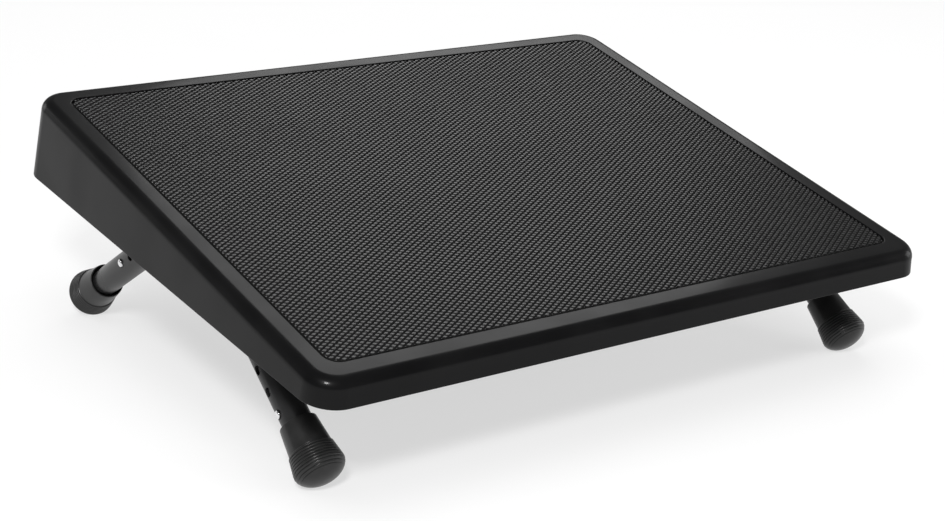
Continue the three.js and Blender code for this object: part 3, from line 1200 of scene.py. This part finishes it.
@dataclass
class PivotBearings:
    """The bushes on the cross tube, with the caps and screws that hold them from below."""

    bush_bore: float = 7.45 * MM
    bush_radius: float = 9.45 * MM
    flange_radius: float = 11.45 * MM
    half_width: float = 12.3 * MM
    flange_thickness: float = 1.5 * MM
    edge: float = 0.3 * MM
    cap_rounding: float = 0.6 * MM
    cap_flatness: float = math.radians(1)
    screw_y: float = 17.5 * MM
    shank_radius: float = 2 * MM
    head_radius: float = 4 * MM
    head_height: float = 2.4 * MM
    head_curve: Profile = ((1, 0), (0.4, 0.2), (0.1, 0.55), (0, 1))
    under_head: float = -4.6 * MM
    tip: float = 8.7 * MM
    tip_share: float = 0.3
    socket_radius: float = 1.7 * MM
    socket_depth: float = 1.3 * MM
    socket_sides: int = 6
    sides: int = 48

    def _bush(self) -> Piece:
        """A bush with a flange at each end, turned about Z.

        Returns:
            The bush, with its middle at the origin.
        """
        out, flange, edge = self.half_width + self.flange_thickness, self.flange_radius, self.edge
        half = (
            (self.bush_radius, 0.0),
            (self.bush_radius, self.half_width),
            (flange - edge, self.half_width),
            (flange, self.half_width + edge),
            (flange, out - edge),
            (flange - edge, out),
            (self.bush_bore + edge, out),
            (self.bush_bore, out - edge),
        )
        profile = [*half, *((radius, -height) for radius, height in reversed(half[1:]))]
        return turned("bush", profile, self.sides, ring=True)

    def _screw(self) -> Piece:
        """A pan-head screw that points up, with a six-sided socket.

        Returns:
            The screw, with the pivot's height at zero.
        """
        bottom = self.under_head - self.head_height
        crown = self.head_height / 2
        profile = [(self.head_radius - x * crown, bottom + y * crown) for x, y in self.head_curve]
        profile += [
            (self.head_radius, self.under_head - self.edge),
            (self.head_radius - self.edge, self.under_head),
            (self.shank_radius, self.under_head),
            (self.shank_radius, self.tip - self.shank_radius),
            (self.tip_share * self.shank_radius, self.tip),
        ]
        screw = turned("screw", profile, self.sides)
        steps = [(self.socket_radius, bottom + z) for z in (-MM, self.socket_depth)]
        cut(screw, turned("socket", steps, self.socket_sides))
        return screw

    def build(self, workshop: Workshop) -> None:
        """Makes both bearings.

        Args:
            workshop: What dresses and fixes its pieces.
        """
        bush, screw = self._bush(), self._screw()
        for side in Side:
            across = AT_REST @ shift(side.value * BEARING_X)
            ring = placed(bush, f"{side.word}_flanged_bush", across @ outboard(Side.RIGHT))
            workshop.fix(ring, NYLON, "platform", f"{side.word}_pivot_bush")
            node = f"{side.word}_bearing_cap"
            cap = copy_of_node(node, f"{side.word}_moulded_cap")
            with opened(cap):
                pick_all()
                bpy.ops.mesh.dissolve_limited(angle_limit=self.cap_flatness)
            soften(cap, self.cap_rounding)
            workshop.fix(cap, MOULDED_PLASTIC, "platform", node)
            for end in End:
                along = across @ shift(y=end.value * self.screw_y)
                fitted = placed(screw, f"{side.word}_pan_screw_{end.word}", along)
                node = f"{side.word}_cap_screw_{end.word}"
                workshop.fix(fitted, SCREW_STEEL, "platform", node)
        discard(bush, screw)


@dataclass
class TubeFrame:
    """Two bent side tubes and the cross tube that joins them, on which the platform tilts."""

    radius: float = 7.15 * MM
    tube_wall: float = 1.2 * MM
    past_mouth: float = 8.5 * MM
    front_hole: float = 135.5 * MM
    rear_hole: float = 97.7 * MM
    bend_steps: int = 28
    sides: int = 40
    cope_gap: float = 0.3 * MM
    bead: float = 1.5 * MM
    bead_sink: float = 0.2 * MM
    bead_steps: int = 8

    def _bent_tube(self) -> Piece:
        """A side tube: a straight leg, the crown's bend and the other straight leg.

        Returns:
            The tube, with the pivot at the origin and no holes.
        """
        along = Vector((0, math.cos(LEG_ANGLE), math.sin(LEG_ANGLE)))
        reach = LEG_REACH + self.past_mouth
        start = Vector((0, 0, CROSSING_ABOVE_PIVOT)) - reach * along
        straight = (reach - BEND_RADIUS * math.tan(LEG_ANGLE)) * along
        lean = (LEG_ANGLE - QUARTER_TURN, 0, 0)
        tube = circle("bent", self.sides, self.radius, start, rotation=lean)
        bend = (0, 0, -BEND_RADIUS)
        with opened(tube):
            pick_all()
            draw_out(*straight)
            bpy.ops.mesh.spin(
                steps=self.bend_steps, angle=2 * LEG_ANGLE, center=bend, axis=(1, 0, 0)
            )
            draw_out(0, straight.y, -straight.z)
            face_outwards()
        apply_modifier(tube, "SOLIDIFY", thickness=self.tube_wall, offset=-1, use_even_offset=True)
        return tube

    def _cross_tube(self) -> Piece:
        """The cross tube, with its ends coped to the side tubes.

        Returns:
            The tube, with its middle at the origin.
        """
        inner = self.radius - self.tube_wall
        end = SIDE_TUBE_X - self.radius / 2
        profile = ((self.radius, -end), (self.radius, end), (inner, end), (inner, -end))
        tube = turned("cross_tube", profile, self.sides, ring=True)
        put(tube, outboard(Side.RIGHT))
        cope = self.radius + self.cope_gap
        past = 4 * cope
        for side in Side:
            bar = turned("cope", ((cope, -past), (cope, past)), self.sides)
            across = shift(side.value * SIDE_TUBE_X)
            cut(tube, put(bar, across @ Matrix.Rotation(QUARTER_TURN, 4, "X")))
        return tube

    def _weld_bead(self) -> Piece:
        """The weld round the joint of a side tube and the cross tube, turned about Z.

        Returns:
            The bead, with Z along the cross tube.
        """
        face = SIDE_TUBE_X - self.radius
        profile = []
        for step in range(self.bead_steps + 1):
            turn = step / self.bead_steps * math.pi
            out = self.radius + self.bead * math.sin(turn) - self.bead_sink
            profile.append((out, face - self.bead * math.cos(turn)))
        inner = self.radius - 2 * self.cope_gap
        profile += [(inner, face + self.bead), (inner, face - self.bead)]
        return turned("weld", profile, self.sides, ring=True)

    def build(self, workshop: Workshop) -> None:
        """Bends, joins and drills the tubes.

        Args:
            workshop: What dresses and fixes its pieces.
        """
        bent, weld = self._bent_tube(), self._weld_bead()
        for side in Side:
            tube = copy_of(bent, f"{side.word}_bent_tube")
            for end, along in ((End.FRONT, self.front_hole), (End.REAR, self.rear_hole)):
                y = end.value * along * math.cos(LEG_ANGLE)
                z = CROSSING_ABOVE_PIVOT - along * math.sin(LEG_ANGLE)
                cut(tube, drill(side, (0, y, z)))
            put(tube, AT_PIVOT @ shift(side.value * SIDE_TUBE_X))
            workshop.fix(tube, COATED_STEEL, "leg_frame", f"{side.word}_side_tube")
            bead = placed(weld, f"{side.word}_weld_bead", AT_PIVOT @ outboard(side))
            workshop.fix(bead, COATED_STEEL, "leg_frame")
        discard(bent, weld)
        tube = put(self._cross_tube(), AT_PIVOT)
        tube.name = "coped_cross_tube"
        workshop.fix(tube, COATED_STEEL, "leg_frame", "pivot_cross_tube")


@dataclass
class Legs:
    """The four leg sleeves with their rubber feet, snap buttons and leaf springs."""

    sleeve_radius: float = 8.75 * MM
    sleeve_wall: float = 1.3 * MM
    sleeve_edge: float = 0.35 * MM
    sleeve_margin: float = 6 * MM
    hole_pitch: float = 14.4 * MM
    hole_count: int = 3
    front_button: float = 8 * MM
    rear_button: float = 45.8 * MM
    socket_depth: float = 26 * MM
    socket_floor: float = 27.8 * MM
    foot_length: float = 36.8 * MM
    mouth_radius: float = 10.9 * MM
    mouth_bore: float = 10 * MM
    mouth_lip: float = 0.35 * MM
    mouth_ease: tuple[float, float] = (0.2, 1.6)
    bore_depth: float = 4 * MM
    shoulder_radius: float = 12.5 * MM
    shoulder_above_ribs: float = 0.6 * MM
    smooth_length: float = 17 * MM
    ribbed_length: float = 10.5 * MM
    rib_count: int = 6
    dome_rib_count: int = 3
    rib_groove: float = 0.7 * MM
    rib_shape: Profile = ((1, 0.02), (0.35, 0.12), (0, 0.3), (0, 0.66), (0.35, 0.84), (1, 0.94))
    first_rib_radius: float = 13.1 * MM
    widest_radius: float = 14.9 * MM
    pole_share: float = 0.0004
    button_radius: float = 2.4 * MM
    button_base: float = 5.1 * MM
    button_tip: float = 10.15 * MM
    button_dome: float = 0.9 * MM
    button_steps: int = 7
    button_sides: int = 36
    tail_radius: float = 1 * MM
    tail_end: float = 3.7 * MM
    button_travel: float = 3.2 * MM
    spring_spread: float = 9.6 * MM
    dome_steps: int = 12
    sides: int = 56

    def _sleeve(self) -> Piece:
        """A plain sleeve, long enough for the rear legs.

        Returns:
            The sleeve, upright and without holes.
        """
        outer, edge = self.sleeve_radius, self.sleeve_edge
        inner = outer - self.sleeve_wall
        holes = (self.hole_count - 1) * self.hole_pitch
        top = -LEG_REACH + self.rear_button + holes + self.sleeve_margin
        bottom = -LEG_REACH - self.socket_depth
        profile = [
            (inner + edge, top),
            (outer - edge, top),
            (outer - EASE * edge, top - EASE * edge),
            (outer, top - edge),
            (outer, bottom + edge),
            (outer - edge, bottom),
            (inner + edge, bottom),
            (inner, bottom + edge),
            (inner, top - edge),
        ]
        return turned("sleeve", profile, self.sides, ring=True)

    def _crest(self, along: float) -> float:
        """The radius over the ribs and the dome, at a distance from the foot's mouth.

        Args:
            along: The distance from the mouth.

        Returns:
            The radius.
        """
        start = self.smooth_length + self.ribbed_length
        if along < start:
            growth = (along - self.smooth_length) / self.ribbed_length
            return self.first_rib_radius + (self.widest_radius - self.first_rib_radius) * growth
        share = (along - start) / (self.foot_length - start)
        return self.widest_radius * math.sqrt(max(1 - share * share, self.pole_share))

    def _foot(self) -> Piece:
        """A foot before its bottom is cut level, from its socket's floor to its dome's end.

        Returns:
            The foot, upright.
        """
        bore = self.sleeve_radius + SEAT_GAP
        lip, (inward, down) = self.mouth_lip, self.mouth_ease
        steps = [
            (bore, self.socket_floor),
            (bore, self.bore_depth),
            (self.mouth_bore - inward * lip, down * lip),
            (self.mouth_bore, lip),
            (self.mouth_bore + EASE * lip, EASE * lip),
            (self.mouth_bore + lip, 0),
            (self.mouth_radius - lip, 0),
            (self.mouth_radius - EASE * lip, EASE * lip),
            (self.mouth_radius, lip),
            (self.shoulder_radius, self.smooth_length - self.shoulder_above_ribs),
        ]
        pitch = self.ribbed_length / self.rib_count
        ribs = self.rib_count + self.dome_rib_count
        for i in range(ribs):
            for drop, share in self.rib_shape:
                along = self.smooth_length + (i + share) * pitch
                steps.append((self._crest(along) - drop * self.rib_groove, along))
        start = self.smooth_length + ribs * pitch
        for step in range(self.dome_steps):
            turn = step / self.dome_steps * QUARTER_TURN
            along = start + (self.foot_length - start) * math.sin(turn)
            steps.append((self._crest(along), along))
        profile = [(radius, -LEG_REACH - along) for radius, along in steps]
        return turned("foot", profile, self.sides)

    def _button(self) -> Piece:
        """A snap button that points along Z, with the tail that is riveted to its spring.

        Returns:
            The button, with the middle of its leg at the origin.
        """
        shoulder = self.button_tip - self.button_dome
        profile = [
            (self.tail_radius, self.tail_end),
            (self.tail_radius, self.button_base),
            (self.button_radius, self.button_base),
            (self.button_radius, shoulder),
        ]
        for step in range(1, self.button_steps):
            turn = step / self.button_steps * QUARTER_TURN
            radius = self.button_radius * math.cos(turn)
            profile.append((radius, shoulder + self.button_dome * math.sin(turn)))
        return turned("button", profile, self.button_sides)

    def _fit_spring(self, workshop: Workshop, leg: str) -> None:
        """Puts in a leaf spring, a merged copy of the frame's node.

        Args:
            workshop: What dresses and fixes it.
            leg: The leg's name.
        """
        strip = copy_of_node(f"{leg}_leaf_spring", f"{leg}_folded_spring")
        workshop.fix(strip, SPRING_STEEL, "leg_frame", f"{leg}_leaf_spring")
        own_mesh(strip)

    def build(self, workshop: Workshop) -> None:
        """Makes the four legs.

        Args:
            workshop: What dresses and fixes its pieces.
        """
        sleeve, foot, button = self._sleeve(), self._foot(), self._button()
        for end, above_mouth in ((End.FRONT, self.front_button), (End.REAR, self.rear_button)):
            lowest = above_mouth - LEG_REACH
            for side in Side:
                leg = f"{end.word}_{side.word}"
                place = leg_place(side, end)
                tube = copy_of(sleeve, f"{leg}_sleeve_tube")
                for i in range(self.hole_count):
                    cut(tube, drill(side, (0, 0, lowest + i * self.hole_pitch)))
                put(tube, place)
                workshop.fix(tube, COATED_STEEL, f"{leg}_leg", f"{leg}_leg_sleeve")
                shoe = placed(foot, f"{leg}_ribbed_foot", place)
                with opened(shoe):
                    pick_all()
                    trim((0, 0, 0), (0, 0, -1), fill=True)
                workshop.fix(shoe, FOOT_RUBBER, f"{leg}_leg", f"{leg}_rubber_foot")
                crossing = place @ shift(z=lowest)
                snap = placed(button, f"{leg}_domed_button", crossing @ outboard(side))
                workshop.fix(snap, BUTTON_STEEL, f"{leg}_button", f"{leg}_snap_button")
                self._fit_spring(workshop, leg)
                workshop.dress_node(f"{leg}_foot_washer", SPRING_STEEL)
        discard(sleeve, foot, button)


# The stage


@dataclass(frozen=True)
class Panel:
    """A soft light panel that faces the footrest."""

    name: str
    toward: tuple[float, float, float]
    distance: float
    size: float
    watts: float
    mirrored: bool = True
    aim_height: float = 80 * MM

    def hang(self) -> None:
        """Hangs the panel in its direction from the footrest."""
        target = Vector((0, 0, self.aim_height))
        away = Vector(self.toward).normalized()
        lamp = bpy.data.lights.new(self.name, "AREA")
        lamp.size = self.size
        lamp.energy = self.watts
        panel = added(self.name, lamp)
        panel.location = target + self.distance * away
        panel.rotation_euler = away.to_track_quat("Z", "Y").to_euler()
        panel.visible_glossy = self.mirrored


@dataclass
class Stage:
    """The camera, the pale floor and the soft lights."""

    camera_at: tuple[float, float, float] = (-0.683797, -0.906461, 0.472930)
    camera_turn: tuple[float, float, float] = (69.43468, -3.65872, -35.72780)
    lens: float = 71.790
    seen_from: float = 10 * MM
    floor_size: float = 12.0
    floor_colour: float = 0.9
    floor_roughness: float = 0.9
    whitening: float = 0.62
    world_level: float = 0.22
    panels: tuple[Panel, ...] = (
        Panel("sky_panel", (-0.10, 0.10, 1.0), 2.4, 2.6, 35.0, mirrored=False),
        Panel("back_panel", (0.51, 0.57, 0.60), 2.0, 1.0, 9.0),
        Panel("key_panel", (-0.56, -0.55, 0.62), 1.6, 0.26, 17.0),
        Panel("front_panel", (0.62, -0.74, 0.24), 2.0, 0.7, 8.0, mirrored=False),
        Panel("rear_panel", (-0.45, 0.86, 0.22), 1.8, 0.6, 2.6),
        Panel("right_panel", (0.94, -0.25, 0.22), 1.6, 0.6, 4.0),
    )

    def set_camera(self) -> None:
        """Puts the camera where the photograph was taken from."""
        data = bpy.data.cameras.new("photo_camera")
        data.lens = self.lens
        data.clip_start = self.seen_from
        camera = added("photo_camera", data)
        camera.location = self.camera_at
        camera.rotation_euler = Euler([math.radians(angle) for angle in self.camera_turn])
        bpy.context.scene.camera = camera
        bpy.context.scene.view_settings.view_transform = "Standard"

    def _lay_floor(self) -> None:
        """Lays the pale floor, which can be looked through from below."""
        let_go()
        bpy.ops.mesh.primitive_plane_add(size=self.floor_size)
        floor = bpy.context.object
        floor.name = "pale_floor"
        graph = Graph("pale_floor")
        values = {
            "Base Color": (*[self.floor_colour] * 3, 1.0),
            "Roughness": self.floor_roughness,
            "Specular IOR Level": 0.0,
        }
        graph.feed(graph.shader, values)
        path = graph.add("ShaderNodeLightPath", {})
        camera, glossy, transmitted = (
            Wire(graph, path.outputs[f"Is {ray} Ray"])
            for ray in ("Camera", "Glossy", "Transmission")
        )
        white = graph.wire("ShaderNodeEmission", {"Strength": 1.0})
        seen = self.whitening * (camera + glossy + transmitted)
        inputs = {0: seen, 1: Wire(graph, graph.shader.outputs[0]), 2: white}
        pale = graph.wire("ShaderNodeMixShader", inputs)
        below = graph.wire("ShaderNodeNewGeometry", {}, "Backfacing") * camera
        clear = graph.wire("ShaderNodeBsdfTransparent", {})
        mix = graph.wire("ShaderNodeMixShader", {0: below, 1: pale, 2: clear})
        graph.feed(graph.tree.nodes["Material Output"], {"Surface": mix})
        floor.data.materials.append(graph.material)
        let_go()

    def light(self) -> None:
        """Lays the floor and lights it and the footrest."""
        self._lay_floor()
        world = bpy.data.worlds.new("pale_world")
        world.use_nodes = True
        background = world.node_tree.nodes["Background"]
        background.inputs["Color"].default_value = (*[self.world_level] * 3, 1.0)
        bpy.context.scene.world = world
        for panel in self.panels:
            panel.hang()


def main() -> None:
    """Builds the footrest and its stage."""
    logging.basicConfig(level=logging.INFO, format="%(message)s")
    stage = Stage()
    stage.set_camera()
    workshop = Workshop()
    for part in (PlatformShell(), Underside(), TreadMat(), PivotBearings(), TubeFrame(), Legs()):
        part.build(workshop)
    stage.light()


if __name__ == "__main__":
    main()
